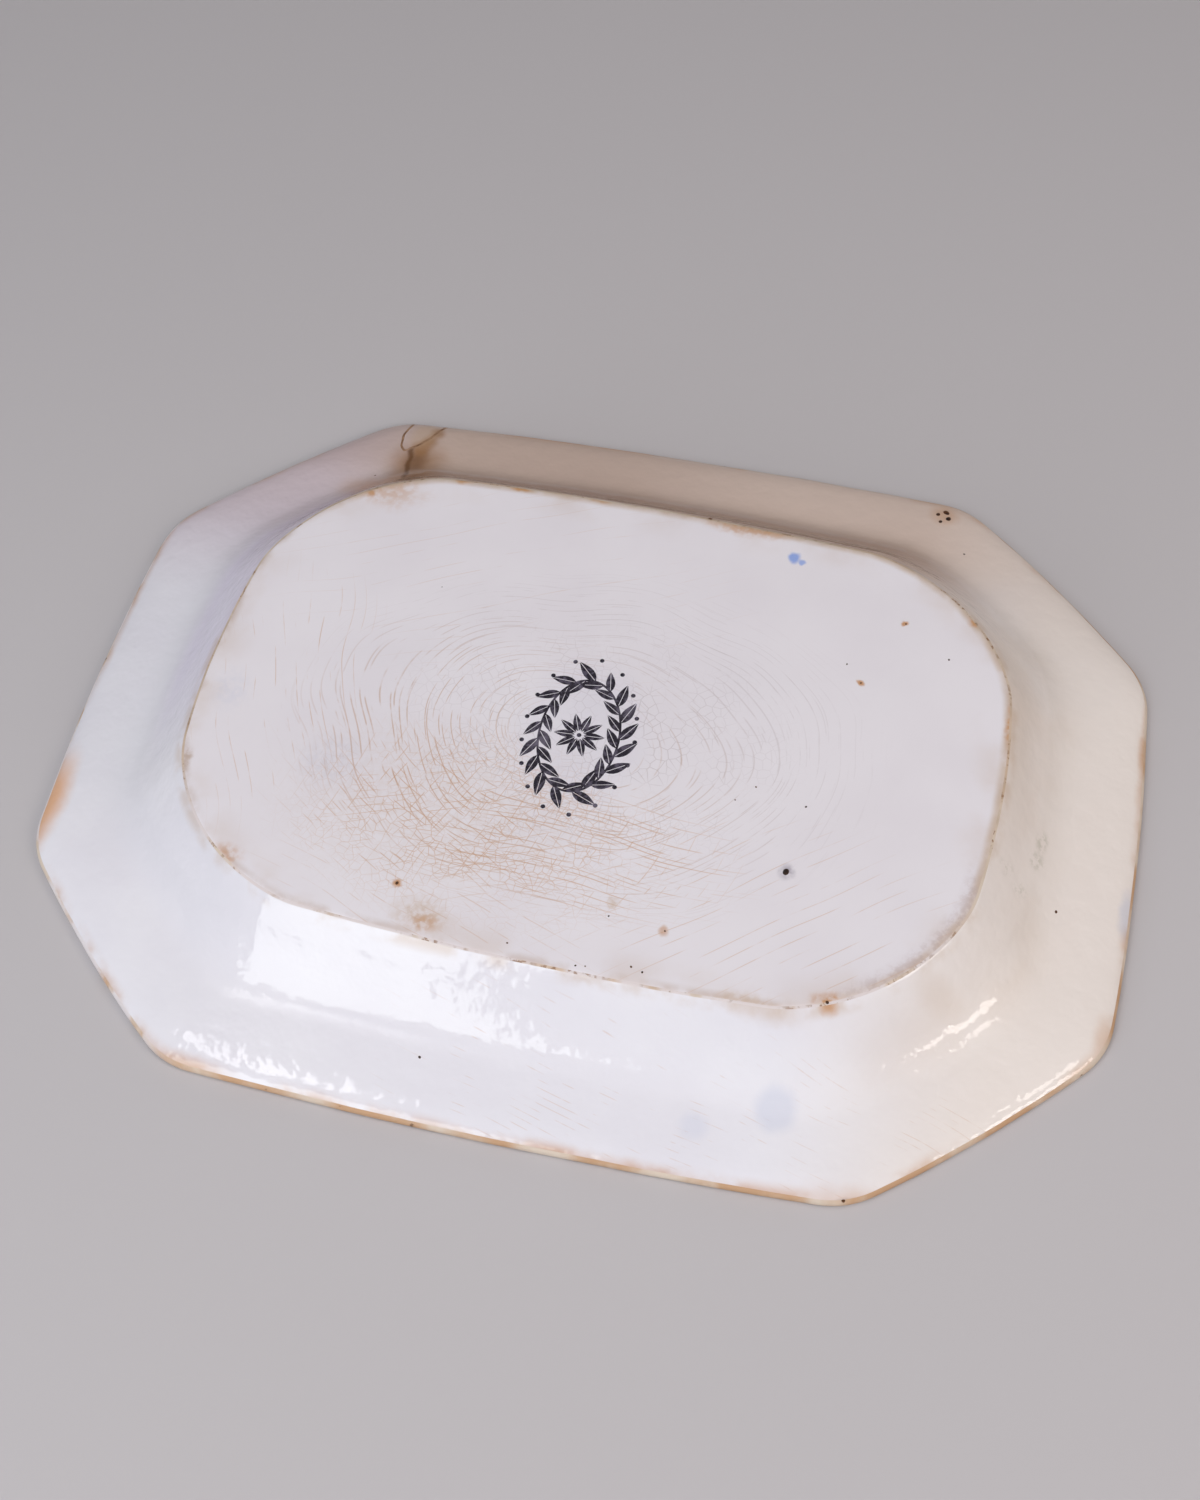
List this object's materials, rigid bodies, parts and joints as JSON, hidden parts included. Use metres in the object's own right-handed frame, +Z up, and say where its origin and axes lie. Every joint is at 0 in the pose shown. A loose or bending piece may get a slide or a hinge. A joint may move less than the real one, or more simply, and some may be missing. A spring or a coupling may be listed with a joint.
{
  "type": "serving platter",
  "caption": "Shallow octagonal serving platter of white-glazed earthenware with a broad sloping rim and a flat underside, lying face down, with a glued tongue of rim at a corner.",
  "frame": {"origin": "middle of the rim's outline, in the plane that the edge of the rim rests on when the platter lies face down", "axes": "+X along the length, +Y along the width, +Z up and out of the flat underside: the platter is stored face down as it is pictured, and is turned over about X for use"},
  "size_m": [0.345, 0.2616, 0.0296],
  "materials": {
    "clay": "bare fired clay, worn and stained brown",
    "base_glaze": "white lead glaze, crazed, dulled by use",
    "back_glaze": "white lead glaze, glossy",
    "face_glaze": "white lead glaze, glossy",
    "chip_glaze": "white lead glaze on a broken tongue of rim",
    "glue": "old brown glue, dry and dull"
  },
  "bodies": {
    "root": {"clay_body": "clay", "base_glaze": "base_glaze", "back_glaze": "back_glaze", "face_glaze": "face_glaze", "rim_chip": "chip_glaze", "chip_glue": "glue"}
  },
  "joints": []
}
